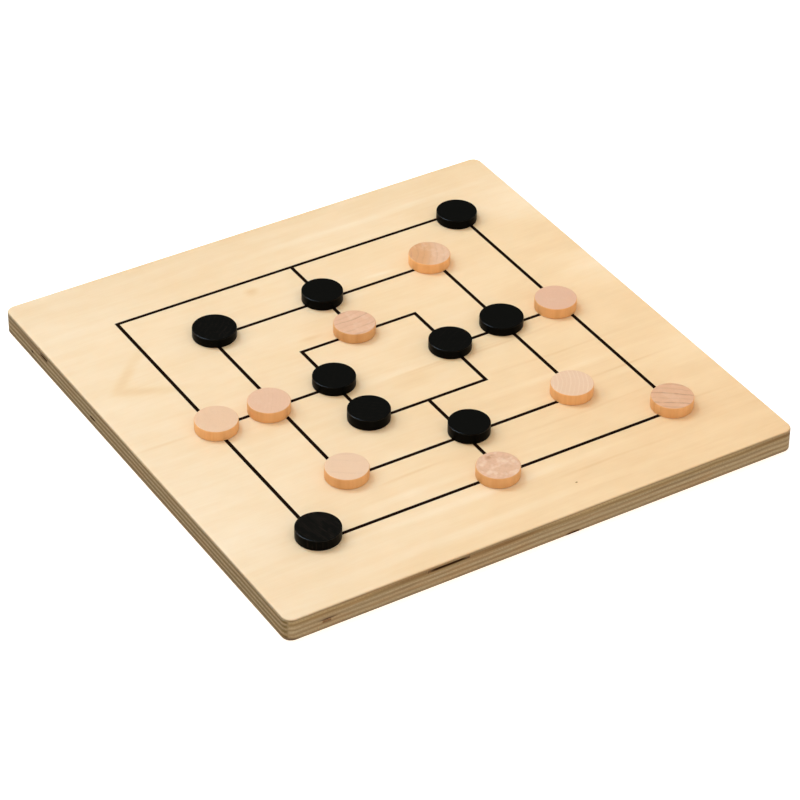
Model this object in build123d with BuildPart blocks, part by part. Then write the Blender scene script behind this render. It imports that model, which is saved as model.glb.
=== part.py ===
from build123d import *

import os

# A nine men's morris board in millimetres: a nine-ply plywood panel with the line pattern on
# its face, and eighteen wooden counters (the "men") standing on the points of the pattern.
# The origin is the centre of the underside, X runs along the face grain and Z points up.

# ---- Driving dimensions ---------------------------------------------------------------
FACE_PLY = 1.55         # each of the two outer veneers
CORE_PLY = 1.35         # each inner veneer
CORE_PLIES = 7          # odd, so that the grain of both faces runs along X
CORNER_RADIUS = 5.0     # the four corners in plan
EDGE_EASE = 1.1         # rounding sanded along the top and bottom edges

INNER_SQUARE = 65.2     # side of the smallest square, between line centres
INNER_SPACING = 32.9    # from the inner square out to the middle one
OUTER_SPACING = 34.0    # from the middle square out to the outer one
BORDER_X = 40.25        # bare wood outside the outer square, along X
BORDER_Y = 41.25        # the same along Y
LINE_WIDTH = 1.95
INK_DEPTH = 0.3         # how far the ink has soaked into the face veneer
PRINT_SHIFT_X = 1.7     # the pattern sits a little off the panel's centre
PRINT_SHIFT_Y = 0.3

COUNTER_DIAMETER = 21.3  # nominal
COUNTER_HEIGHT = 5.5     # nominal
BLACK_RIM = 0.4         # chamfer of the stained counters; the bare ones stay sharp

# ---- Worked out from them ---------------------------------------------------------------
INNER_HALF = INNER_SQUARE / 2
MIDDLE_HALF = INNER_HALF + INNER_SPACING
OUTER_HALF = MIDDLE_HALF + OUTER_SPACING
BOARD_X = 2 * (OUTER_HALF + BORDER_X)
BOARD_Y = 2 * (OUTER_HALF + BORDER_Y)
TOP = 2 * FACE_PLY + CORE_PLIES * CORE_PLY

# A softened edge stays thinner than the wall it is made on.
BOARD_ROUNDING = min(EDGE_EASE, 0.9 * FACE_PLY)
BLACK_CHAMFER = min(BLACK_RIM, 0.4 * COUNTER_HEIGHT)

# Gaps and knot holes of the core that the saw has opened along two sides of the panel:
# ply number from the top, side, place along that side, width, depth into the panel. The one
# in the back veneer is a hollow that leaves a skin of wood over the underside.
GAP_SKIN = 0.3
CORE_GAPS = [
    (2, "front", -55.2, 22.5, 6.0),
    (6, "front", -119.2, 4.5, 2.5),
    (9, "front", 12.8, 6.7, 3.0),
    (3, "left", 97.2, 7.5, 4.0),
    (6, "left", 45.9, 5.5, 4.0),
    (6, "left", 109.8, 1.6, 2.5),
]

# Each counter stands near a point of the pattern, named by its square and by the column
# (-1 left, 0, 1 right) and row (-1 front, 0, 1 back) there. It was set down by hand, so it
# is off the point by the next two numbers, and the last two are how far its diameter and its
# height are from the nominal ones, since each was sawn and sanded on its own.
BLACK_COUNTERS = [
    (OUTER_HALF, 1, 1, -2.9, -4.7, -0.2, -0.4),
    (OUTER_HALF, -1, -1, 0.8, 3.8, 0.6, 0.2),
    (MIDDLE_HALF, 0, 1, -0.8, 1.4, -0.3, 0.1),
    (MIDDLE_HALF, -1, 1, 3.0, 1.3, 1.0, -0.5),
    (MIDDLE_HALF, 1, 0, -0.7, 3.1, 0.8, -0.7),
    (MIDDLE_HALF, 0, -1, 3.0, 1.6, -0.7, 0.4),
    (INNER_HALF, 1, 0, -0.3, -0.7, 0.3, -0.6),
    (INNER_HALF, -1, 0, 0.2, 2.0, 0.1, -0.5),
    (INNER_HALF, -1, -1, 0.3, 2.2, -0.2, 0.4),
]
NATURAL_COUNTERS = [
    (OUTER_HALF, 1, 0, -3.5, 1.5, 0.0, 0.4),
    (OUTER_HALF, -1, 0, 0.7, -0.6, 0.0, 0.2),
    (OUTER_HALF, 1, -1, -1.5, 3.4, -0.3, 0.4),
    (OUTER_HALF, 0, -1, -3.6, 0.2, 0.0, 0.4),
    (MIDDLE_HALF, 1, 1, -2.8, 1.8, 0.0, 0.3),
    (MIDDLE_HALF, -1, 0, -4.8, -1.0, -0.3, 0.6),
    (MIDDLE_HALF, 1, -1, -3.1, 2.6, -0.1, 0.5),
    (MIDDLE_HALF, -1, -1, 0.9, 1.6, 0.0, 0.3),
    (INNER_HALF, 0, 1, -1.5, 1.7, -0.2, 0.2),
]

os.makedirs("parts", exist_ok=True)


def save(piece, name):
    """Name a finished piece and write it to its own file."""
    piece.label = name
    export_step(piece, f"parts/{name}.step")
    print(f"{name}: {piece.volume:.1f} mm3")


# ---- The line pattern -------------------------------------------------------------------
# Three squares one inside the other, then four spokes that join the middles of their sides.
with BuildSketch(Plane.XY.offset(TOP)) as pattern:
    with Locations((PRINT_SHIFT_X, PRINT_SHIFT_Y)):
        for half in (OUTER_HALF, MIDDLE_HALF, INNER_HALF):
            Rectangle(2 * half + LINE_WIDTH, 2 * half + LINE_WIDTH)
            Rectangle(2 * half - LINE_WIDTH, 2 * half - LINE_WIDTH, mode=Mode.SUBTRACT)
        with PolarLocations((INNER_HALF + OUTER_HALF) / 2, 4):
            Rectangle(OUTER_HALF - INNER_HALF, LINE_WIDTH)

with BuildPart() as printed_lines:
    extrude(pattern.sketch, amount=-INK_DEPTH)
save(printed_lines.part, "printed_lines")


# ---- The plywood panel ------------------------------------------------------------------
def gap_ellipse(side, along, width, depth):
    """Centre and radii of the ellipse whose inner half is a core gap, seen in plan."""
    if side == "front":
        return (along, -BOARD_Y / 2), (width / 2, depth)
    return (-BOARD_X / 2, along), (depth, width / 2)


core_names = [f"core_veneer_{core + 1}" for core in range(CORE_PLIES)]
ply_top = TOP
for number, name in enumerate(["face_veneer", *core_names, "back_veneer"], start=1):
    thickness = CORE_PLY if name in core_names else FACE_PLY
    with BuildPart() as veneer:
        with BuildSketch(Plane.XY.offset(ply_top)):
            RectangleRounded(BOARD_X, BOARD_Y, CORNER_RADIUS)
        extrude(amount=-thickness)
        if name == "face_veneer":
            fillet(veneer.faces().sort_by(Axis.Z)[-1].edges(), BOARD_ROUNDING)
            extrude(pattern.sketch, amount=-INK_DEPTH, mode=Mode.SUBTRACT)
        if name == "back_veneer":
            fillet(veneer.faces().sort_by(Axis.Z)[0].edges(), BOARD_ROUNDING)
        for centre, radii in [gap_ellipse(*gap[1:]) for gap in CORE_GAPS if gap[0] == number]:
            with BuildSketch(Plane.XY.offset(ply_top)):
                with Locations(centre):
                    Ellipse(*radii)
            skin = GAP_SKIN if name == "back_veneer" else 0
            extrude(amount=skin - thickness, mode=Mode.SUBTRACT)
    save(veneer.part, name)
    ply_top -= thickness


# ---- The counters -----------------------------------------------------------------------
def counter_centre(half, column, row, drift_x, drift_y):
    """Where a counter stands on the panel, in X and Y."""
    x = PRINT_SHIFT_X + column * half + drift_x
    y = PRINT_SHIFT_Y + row * half + drift_y
    return (x, y)


for index, (*place, wider, taller) in enumerate(BLACK_COUNTERS):
    with BuildPart() as black_counter:
        with BuildSketch(Plane.XY.offset(TOP)):
            with Locations(counter_centre(*place)):
                Circle((COUNTER_DIAMETER + wider) / 2)
        extrude(amount=COUNTER_HEIGHT + taller)
        chamfer(black_counter.faces().filter_by(Axis.Z).edges(), BLACK_CHAMFER)
    save(black_counter.part, f"black_counter_{index + 1}")

for index, (*place, wider, taller) in enumerate(NATURAL_COUNTERS):
    with BuildPart() as natural_counter:
        with BuildSketch(Plane.XY.offset(TOP)):
            with Locations(counter_centre(*place)):
                Circle((COUNTER_DIAMETER + wider) / 2)
        extrude(amount=COUNTER_HEIGHT + taller)
    save(natural_counter.part, f"natural_counter_{index + 1}")
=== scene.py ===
# %% [markdown]
# # A nine men's morris board
# The board is a square of nine-ply plywood with three black squares printed on its face, and
# eighteen small wooden counters stand on it: nine stained black, nine left bare. The panel's
# veneers and the printed lines come ready made, in metres, as the fixed frame. This lesson
# gives every surface its finish, and models the counters again with the soft rims that
# sanded and tumbled wood has.

# %% Load the frame
import math

import bmesh
import bpy
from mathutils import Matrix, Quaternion, Vector


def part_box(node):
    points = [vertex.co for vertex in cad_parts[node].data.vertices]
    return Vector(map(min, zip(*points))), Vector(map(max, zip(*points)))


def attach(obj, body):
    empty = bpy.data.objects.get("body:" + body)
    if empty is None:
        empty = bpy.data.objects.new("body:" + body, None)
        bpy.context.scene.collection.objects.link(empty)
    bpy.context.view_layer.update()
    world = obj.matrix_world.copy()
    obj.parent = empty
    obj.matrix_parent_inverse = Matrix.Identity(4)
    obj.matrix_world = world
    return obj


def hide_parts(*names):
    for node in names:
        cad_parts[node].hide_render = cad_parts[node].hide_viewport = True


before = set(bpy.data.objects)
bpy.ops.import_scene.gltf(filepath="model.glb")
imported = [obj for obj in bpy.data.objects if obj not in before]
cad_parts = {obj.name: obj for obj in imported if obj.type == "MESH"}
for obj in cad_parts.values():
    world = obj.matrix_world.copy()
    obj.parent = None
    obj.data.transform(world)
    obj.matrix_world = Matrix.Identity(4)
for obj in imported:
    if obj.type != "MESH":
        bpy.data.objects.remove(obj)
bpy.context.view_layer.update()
MM = 0.001

panel_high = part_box("face_veneer")[1]
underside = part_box("back_veneer")[0].z
panel_top = panel_high.z
half_x, half_y = panel_high.x, panel_high.y
print("panel", round(2 * half_x / MM, 1), "x", round(2 * half_y / MM, 1), "mm, top at", panel_top)

# %% [markdown]
# ## The camera
# A long lens from more than a metre away keeps the far and near sides of the board almost the
# same length. The camera could be turned by three angles, but a place and a point to aim at
# are easier to think of, so the angles are worked out from those two. Then it is rolled a
# little, as a camera on a tripod is never quite level.

# %% Place the camera
CAMERA_PLACE = Vector((-0.68683, -1.10325, 0.94974))
CAMERA_AIM = Vector((-0.01043, -0.02565, 0.01274))
CAMERA_LENS = 147.93    # millimetres, as is the sensor's width
CAMERA_SENSOR = 36
CAMERA_ROLL = math.radians(0.878)

aim = (CAMERA_AIM - CAMERA_PLACE).to_track_quat("-Z", "Y")
turn = aim @ Quaternion((0, 0, 1), CAMERA_ROLL)
bpy.ops.object.camera_add(location=CAMERA_PLACE, rotation=turn.to_euler())
camera = bpy.context.object
camera.name = "camera"
camera.data.sensor_width = CAMERA_SENSOR
camera.data.lens = CAMERA_LENS
bpy.context.scene.camera = camera
print("camera is", round((CAMERA_AIM - CAMERA_PLACE).length, 3), "m from the board")

# %% [markdown]
# ## The table
# The board lies on a plain white surface. One plane is enough for it, so large that no camera
# sees its rim. It lies a hair under the board, because two faces at the same height flicker
# against each other. It gets its finish further down, once there are helpers for shaders.

# %% Lay the table
TABLE_SIZE = 8.0
TABLE_GAP = 0.05 * MM
bpy.ops.mesh.primitive_plane_add(size=TABLE_SIZE, location=(0, 0, underside - TABLE_GAP))
table = bpy.context.object
table.name = "table"
print("table", TABLE_SIZE, "m wide,", TABLE_GAP / MM, "mm under the board")

# %% [markdown]
# ## The light
# Pale wood on white needs a light that is large and soft. A cool key panel behind the board
# lays short shadows towards the front right, a second panel at the back left draws a line of
# light on the black rims, and two weak ones fill the top and the front. The two fill panels
# are kept out of reflections, because a black rim would show them as well. Colours are shown
# as they are lit, without a film curve, so that near-white wood stays near white.

# %% Hang the lights
bpy.context.scene.view_settings.view_transform = "Standard"


def soft_light(name, place, size, power, colour=(1, 1, 1), mirrored=True):
    """A square panel of light that faces the board."""
    facing = (Vector((0, 0, 0)) - Vector(place)).to_track_quat("-Z", "Y")
    bpy.ops.object.light_add(type="AREA", location=place, rotation=facing.to_euler())
    lamp = bpy.context.object
    lamp.name = name
    lamp.data.size = size
    lamp.data.energy = power
    lamp.data.color = colour
    lamp.visible_glossy = mirrored
    return lamp


COOL = (0.72, 1.0, 1.30)
WARM = (1.09, 1.0, 0.91)
soft_light("key", (-0.36, 1.08, 2.04), 0.8, 15.0, COOL)
soft_light("rim", (-1.10, 1.10, 1.40), 0.8, 6.4, (1.03, 1, 0.94))
soft_light("front", (-0.20, -1.70, 1.10), 1.3, 3.5, WARM, mirrored=False)
soft_light("top", (-0.10, 0.20, 2.20), 0.9, 5.2, WARM, mirrored=False)

# %% [markdown]
# ## The room
# More than half of the light comes from the white room around the board, which is a little
# warmer than the key, as walls are, so the shadows are warm. One background can still have a
# strength for each kind of ray: a bright one for the light that falls on the wood, a faint
# one for what a polished rim mirrors, and clean white for what the camera sees.

# %% Light the room
world = bpy.data.worlds.new("studio")
bpy.context.scene.world = world
world.use_nodes = True
sky = world.node_tree
ray = sky.nodes.new("ShaderNodeLightPath").outputs
SKY_LIGHT = 0.64
SKY_MIRRORED = 0.03
SKY_SEEN = 1.0

dimmed = sky.nodes.new("ShaderNodeMix")
dimmed.inputs["A"].default_value = SKY_LIGHT
dimmed.inputs["B"].default_value = SKY_MIRRORED
sky.links.new(ray["Is Glossy Ray"], dimmed.inputs["Factor"])
seen = sky.nodes.new("ShaderNodeMix")
seen.inputs["B"].default_value = SKY_SEEN
sky.links.new(dimmed.outputs["Result"], seen.inputs["A"])
sky.links.new(ray["Is Camera Ray"], seen.inputs["Factor"])
sky_colour = sky.nodes.new("ShaderNodeMix")
sky_colour.data_type = "RGBA"
sky_colour.inputs[6].default_value = (*WARM, 1)
sky_colour.inputs[7].default_value = (1, 1, 1, 1)
sky.links.new(ray["Is Camera Ray"], sky_colour.inputs[0])
sky.links.new(sky_colour.outputs[2], sky.nodes["Background"].inputs["Color"])
sky.links.new(seen.outputs["Result"], sky.nodes["Background"].inputs["Strength"])
print("room light", SKY_LIGHT, "in a mirror", SKY_MIRRORED)

# %% [markdown]
# ## Helpers for shader trees
# A material is a tree of nodes. Placing each by hand takes three lines or more, so two
# helpers do it in one: the first fills a socket with whatever it is given, a plain value or a
# link from another node, and the second places a node and fills its inputs that way.

# %% Place a node
def fill(tree, socket, value):
    """Give a socket a link, a colour, a vector or a number."""
    if isinstance(value, bpy.types.NodeSocket):
        tree.links.new(value, socket)
    elif socket.type == "RGBA" and len(value) == 3:
        socket.default_value = (*value, 1)
    else:
        socket.default_value = value


def place_node(tree, kind, inputs=None, **settings):
    """Add a node, apply its settings, and fill the named or numbered inputs."""
    made = tree.nodes.new("ShaderNode" + kind)
    for name, value in settings.items():
        setattr(made, name, value)
    for name, value in (inputs or {}).items():
        fill(tree, made.inputs[name], value)
    return made


# %% [markdown]
# ## Arithmetic in a shader
# Every wood here needs the same few steps: one step of arithmetic, an eased change between two
# limits, a mix of two colours, and a colour made lighter or darker. Each returns a socket,
# so that the steps can be written one inside the other, as in a formula.

# %% Do arithmetic and blend colours
def maths(tree, operation, *values):
    """One step of arithmetic on numbers or sockets."""
    return place_node(tree, "Math", dict(enumerate(values)), operation=operation).outputs[0]


def vector_maths(tree, operation, *values):
    """One step of arithmetic on vectors."""
    return place_node(tree, "VectorMath", dict(enumerate(values)), operation=operation).outputs[0]


def eased(tree, value, start, end, first=0.0, last=1.0):
    """Go softly from the first number to the last while the value goes from start to end."""
    limits = {"Value": value, "From Min": start, "From Max": end, "To Min": first, "To Max": last}
    return place_node(tree, "MapRange", limits, interpolation_type="SMOOTHSTEP").outputs[0]


def mix_colours(tree, share, first, second):
    """Blend from the first colour to the second by a share from 0 to 1."""
    return place_node(tree, "Mix", {0: share, 6: first, 7: second}, data_type="RGBA").outputs[2]


def tint(tree, colour, factor):
    """Make a colour lighter or darker."""
    scaled = place_node(tree, "VectorMath", {0: colour, "Scale": factor}, operation="SCALE")
    return scaled.outputs[0]


def parts_of(tree, vector):
    """The three numbers of a vector."""
    return place_node(tree, "SeparateXYZ", {0: vector}).outputs


# %% [markdown]
# ## Where a point is, and what varies there
# The patterns are solid: they are worked out from the place of a point in the wood and not
# painted on its skin, so that a streak runs on round a corner. Places are turned into
# millimetres first, because wood is easiest to think of in that unit. A point's normal says
# whether it lies on a flat face or on an upright side.

# %% Measure the place and add noise
def noise(tree, position, per_mm, detail=3.0, roughness=0.55, seed=0.0):
    """Noise between 0 and 1 with its own scale along each axis, in cycles per millimetre."""
    scaled = vector_maths(tree, "MULTIPLY", position, per_mm)
    made = place_node(
        tree,
        "TexNoise",
        {"Vector": scaled, "W": seed, "Scale": 1.0, "Detail": detail, "Roughness": roughness},
        noise_dimensions="4D",
    )
    return made.outputs["Fac"]


def place_in_mm(tree):
    """The place of a point on its piece, in millimetres."""
    place = place_node(tree, "TexCoord").outputs["Object"]
    return tint(tree, place, 1 / MM)


def flatness(tree):
    """1 where a surface lies flat, 0 where it stands upright."""
    normal = place_node(tree, "NewGeometry").outputs["Normal"]
    return maths(tree, "ABSOLUTE", parts_of(tree, normal)[2])


# %% [markdown]
# ## Groups
# An effect that several finishes share is a node group. It is built once, with named inputs
# and outputs, and placed in each material with its own values. Copying its nodes into every
# material would look the same, but a change would then have to be made many times.

# %% Start and use a group
def new_group(name, takes, gives):
    """An empty shader group with named sockets: its tree, its inputs and its output node."""
    tree = bpy.data.node_groups.new(name, "ShaderNodeTree")
    for label, kind in takes.items():
        tree.interface.new_socket(label, in_out="INPUT", socket_type="NodeSocket" + kind)
    for label, kind in gives.items():
        tree.interface.new_socket(label, in_out="OUTPUT", socket_type="NodeSocket" + kind)
    return tree, tree.nodes.new("NodeGroupInput").outputs, tree.nodes.new("NodeGroupOutput")


def use_group(tree, group, inputs):
    """Place a shader group in a tree, fill its inputs and return its outputs."""
    made = place_node(tree, "Group", node_tree=group)
    for name, value in inputs.items():
        fill(tree, made.inputs[name], value)
    return made.outputs


# %% [markdown]
# ## What every finish starts from
# Each finish is one Principled shader. Its roughness and specular level are plain values on
# the shader itself, and only the colour and the bump vary over the surface. Bare wood also
# lets light spread inside it, which softens its shadows. The bump is relief too fine to be
# modelled, a tenth of a millimetre or so.

# %% Start a material
GLOW_WEIGHT = 0.35
GLOW_REACH = 2.5 * MM
GLOW_RADIUS = (1.0, 0.45, 0.20)


def new_material(name, roughness, shine):
    """A material with one Principled shader of a plain roughness and specular level."""
    material = bpy.data.materials.new(name)
    material.use_nodes = True
    shader = material.node_tree.nodes["Principled BSDF"]
    shader.inputs["Roughness"].default_value = roughness
    shader.inputs["Specular IOR Level"].default_value = shine
    return material, material.node_tree, shader


def add_glow(shader):
    """Let light spread inside the wood, red furthest, so that shadows have warm edges."""
    shader.subsurface_method = "BURLEY"
    shader.inputs["Subsurface Weight"].default_value = GLOW_WEIGHT
    shader.inputs["Subsurface Scale"].default_value = GLOW_REACH
    shader.inputs["Subsurface Radius"].default_value = GLOW_RADIUS


def add_bump(tree, shader, height, strength, depth_mm):
    """Let a height pattern roughen the surface."""
    relief = {"Height": height, "Strength": strength, "Distance": depth_mm * MM}
    bump = place_node(tree, "Bump", relief)
    tree.links.new(bump.outputs[0], shader.inputs["Normal"])


# %% [markdown]
# ## Fibre streaks
# Wood is made of long fibres, so most of its marks are short streaks along the grain. Noise
# that is stretched along one axis looks just like that. The group takes the length and the
# width of a streak in millimetres, so one group serves the face, its bump and the ink.

# %% Fibre streaks
fibres, given, result = new_group(
    "fibre_streaks",
    {"Position": "Vector", "Length": "Float", "Width": "Float", "Seed": "Float"},
    {"Streaks": "Float"},
)
size = place_node(fibres, "CombineXYZ", {0: given["Length"], 1: given["Width"], 2: given["Width"]})
stretched = vector_maths(fibres, "DIVIDE", given["Position"], size.outputs[0])
streaks = noise(fibres, stretched, (1, 1, 1), roughness=0.6, seed=given["Seed"])
fibres.links.new(streaks, result.inputs["Streaks"])
print("group", fibres.name)

# %% [markdown]
# ## Growth rings
# Each year a tree starts with pale wood, darkens slowly to a thin line of latewood, and then
# jumps back. The group turns the distance from the middle of the tree into that: the year is
# the distance over the ring's pitch, its fraction is the season, and each year has its own
# harshness. A wander that is added to the year keeps the rings from being perfect circles.

# %% Growth rings
rings, given, result = new_group(
    "growth_rings",
    {"Distance": "Float", "Pitch": "Float", "Wander": "Float"},
    {"Late": "Float"},
)
years = maths(rings, "DIVIDE", given["Distance"], given["Pitch"])
years = maths(rings, "ADD", years, given["Wander"])
season = maths(rings, "FRACT", years)
darkening = eased(rings, season, 0.50, 0.93)
sharpened = maths(rings, "POWER", darkening, 2.0)
ending = eased(rings, season, 0.94, 1.0, 1.0, 0.0)
year_number = maths(rings, "FLOOR", years)
dice = place_node(rings, "TexWhiteNoise", {"W": year_number}, noise_dimensions="1D")
harsh = dice.outputs["Value"]
line = maths(rings, "MULTIPLY", sharpened, ending)
line = maths(rings, "MULTIPLY", line, maths(rings, "MULTIPLY_ADD", harsh, 0.7, 0.3))
rings.links.new(line, result.inputs["Late"])
print("group", rings.name)

# %% [markdown]
# ## One mark along the grain
# Noise alone never gives the one brown streak that catches the eye. This group is a single
# soft-edged mark: an ellipsoid, 1 in its middle and 0 at its rim, usually long along the grain
# and narrow across it. Lists of marks then give a sheet or an edge the streaks it happens to
# have.

# %% One mark along the grain
mark, given, result = new_group(
    "grain_mark",
    {"Position": "Vector", "Centre": "Vector", "Half Size": "Vector"},
    {"Share": "Float"},
)
away = vector_maths(mark, "SUBTRACT", given["Position"], given["Centre"])
away = vector_maths(mark, "DIVIDE", away, given["Half Size"])
reach = place_node(mark, "VectorMath", {0: away}, operation="LENGTH").outputs["Value"]
mark.links.new(eased(mark, reach, 0.0, 1.0, 1.0, 0.0), result.inputs["Share"])
print("groups:", sorted(group.name for group in bpy.data.node_groups))

# %% [markdown]
# ## The glue lines of the sawn edge
# The sides of the panel show the veneers as bands. One sine over the height, with half a wave
# to each veneer, is above zero in every second one, so it gives the bands without a list of
# heights. A sheet is never quite even, so before that the height is shifted a little: the
# glue lines waver, and they climb towards one end.

# %% Ply edge: glue lines
BACK_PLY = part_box("back_veneer")[1].z / MM
CORE_NAMES = [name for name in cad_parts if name.startswith("core_veneer")]
CORE_PLY = (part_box("core_veneer_1")[1].z / MM - BACK_PLY) / len(CORE_NAMES)
GLUE_WAVER = 1.6        # how far the glue lines wander, in millimetres
GLUE_LEVEL = 0.67       # the noise value that leaves a glue line at its even height
GLUE_RISE = 0.20        # how much higher the lines lie at the middle of the panel
GLUE_TILT = 0.0015      # and how much higher again for each millimetre along X
PAST_CORE = 0.7         # how far into the outer veneers the bands go on, in plies

ply_edge, given, result = new_group(
    "ply_edge",
    {"Position": "Vector", "Facing": "Vector"},
    {"End Grain": "Float", "Faces Y": "Float", "Grain": "Float", "Gap": "Float"},
)
spot = parts_of(ply_edge, given["Position"])
slow_waver = noise(ply_edge, given["Position"], (0.035, 0.035, 0.10))
waver = maths(ply_edge, "SUBTRACT", slow_waver, GLUE_LEVEL)
waver = maths(ply_edge, "MULTIPLY", waver, GLUE_WAVER)
rise = maths(ply_edge, "MULTIPLY_ADD", spot[0], -GLUE_TILT, -GLUE_RISE)
waver = maths(ply_edge, "ADD", waver, rise)
height = maths(ply_edge, "SUBTRACT", maths(ply_edge, "ADD", spot[2], waver), BACK_PLY)
ply = maths(ply_edge, "DIVIDE", height, CORE_PLY)
ply = maths(ply_edge, "MAXIMUM", ply, -PAST_CORE)
ply = maths(ply_edge, "MINIMUM", ply, len(CORE_NAMES) + PAST_CORE)
wave = maths(ply_edge, "SINE", maths(ply_edge, "MULTIPLY", ply, math.pi))
even = eased(ply_edge, wave, -0.5, 0.5)
print(len(CORE_NAMES), "core plies of", round(CORE_PLY, 2), "mm")

# %% [markdown]
# ## Long grain and end grain
# Every second veneer shows its long grain on a side, and the ones between show their end
# grain. Which is which swaps from one side to the next, because the veneers are crossed, so
# the group asks which way the surface faces. Long grain is drawn with streaks along the ply
# and end grain with fine pores. On the sides that face along Y the bands are faint in places.

# %% Ply edge: grain
FAINT_BANDS = 0.60      # the contrast that is left where the bands are faint
facing = parts_of(ply_edge, given["Facing"])
toward_y = maths(ply_edge, "ABSOLUTE", facing[1])
toward_x = maths(ply_edge, "ABSOLUTE", facing[0])
faces_y = eased(ply_edge, maths(ply_edge, "SUBTRACT", toward_y, toward_x), -0.3, 0.3)

clear = noise(ply_edge, given["Position"], (0.02, 0.02, 0.30), seed=15.0)
clear = eased(ply_edge, clear, 0.38, 0.58, FAINT_BANDS, 1.0)
clear = place_node(ply_edge, "Mix", {0: faces_y, 2: 1.0, 3: clear}).outputs[0]
even = maths(ply_edge, "MULTIPLY_ADD", maths(ply_edge, "SUBTRACT", even, 0.5), clear, 0.5)
odd = maths(ply_edge, "SUBTRACT", 1.0, even)
end_grain = place_node(ply_edge, "Mix", {0: faces_y, 2: odd, 3: even}).outputs[0]

long_marks = noise(ply_edge, given["Position"], (0.07, 0.07, 2.4), detail=4.0)
pores = noise(ply_edge, given["Position"], (1.3, 1.3, 1.0), detail=4.0)
grain = place_node(ply_edge, "Mix", {0: end_grain, 2: long_marks, 3: pores}).outputs[0]

ply_edge.links.new(end_grain, result.inputs["End Grain"])
ply_edge.links.new(faces_y, result.inputs["Faces Y"])
ply_edge.links.new(grain, result.inputs["Grain"])
print("group", ply_edge.name, "with", len(ply_edge.nodes), "nodes so far")

# %% [markdown]
# ## What lies in a core gap
# The saw has opened a few gaps of the core, and their walls belong to the same pieces as the
# clean sides. Picking the faces by hand would do, but a solid pattern can tell them apart by
# itself: a point in a gap lies deeper in the panel than its outline. The outline has rounded
# corners, so the depth is measured from a circle there. Two limits of height keep the faces
# of the panel, which are deep inside its outline too, out of it.

# %% Ply edge: gaps
CORNER = 5.0                # radius of the panel's corners, in millimetres
GAP_MOUTH = (0.05, 0.6)     # depths over which a gap's shade begins
GAP_FLOOR = (0.1, 0.25)     # heights over which it begins above the underside
GAP_CEILING = (11.0, 12.0)  # and over which it ends below the face


def past_corner(coordinate, half_side):
    """How far a point is beyond the start of the panel's rounded corner, along one axis."""
    beyond = maths(ply_edge, "ABSOLUTE", coordinate)
    beyond = maths(ply_edge, "SUBTRACT", beyond, half_side / MM - CORNER)
    return maths(ply_edge, "MAXIMUM", beyond, 0.0)


corner_place = place_node(
    ply_edge, "CombineXYZ", {0: past_corner(spot[0], half_x), 1: past_corner(spot[1], half_y)}
)
outward = place_node(ply_edge, "VectorMath", {0: corner_place.outputs[0]}, operation="LENGTH")
depth = maths(ply_edge, "SUBTRACT", CORNER, outward.outputs["Value"])

over_floor = eased(ply_edge, spot[2], *GAP_FLOOR)
under_ceiling = eased(ply_edge, spot[2], *GAP_CEILING, 1.0, 0.0)
inside = maths(ply_edge, "MULTIPLY", eased(ply_edge, depth, *GAP_MOUTH), over_floor)
inside = maths(ply_edge, "MULTIPLY", inside, under_ceiling)
ply_edge.links.new(inside, result.inputs["Gap"])
print("group", ply_edge.name, "with", len(ply_edge.nodes), "nodes")

# %% [markdown]
# ## The colours of the sides
# Long grain is brown and streaky, end grain is paler and full of small pores. The sides that
# face along Y are lighter than the other two, partly by their wood's own colour and partly by
# painted light. The rest are stains, and dark brown also serves as painted shade around the
# core gaps. A stain could be a colour to mix towards, but then it would cover the bands of the
# plies. So the wood is multiplied by it, as by a thin dye, and the bands stay visible.

# %% Side colours and stains
LONG_GRAIN_X = (0.142, 0.090, 0.028)
END_GRAIN_X = (0.255, 0.178, 0.088)
# the sides that face along Y: lighter than those facing X, partly with painted light
LONG_GRAIN_Y_WITH_PAINTED_LIGHT = (0.250, 0.166, 0.080)
END_GRAIN_Y_WITH_PAINTED_LIGHT = (0.345, 0.255, 0.137)
UPPER_PLIES = (0.90, 0.84, 0.70)
BACK_VENEER = (0.74, 0.80, 0.88)
RUSTY = (1.03, 0.94, 0.86)
WARM_BROWN = (0.68, 0.56, 0.43)
DARK_BROWN = (0.22, 0.12, 0.06)
DULL = (0.84, 0.83, 0.80)
PALE = (1.16, 1.16, 1.14)
WHITE = (1, 1, 1)       # a stain that changes nothing


def stained(tree, colour, share, stain):
    """Multiply a colour by a stain, as far as the share says."""
    return vector_maths(tree, "MULTIPLY", colour, mix_colours(tree, share, WHITE, stain))
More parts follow.
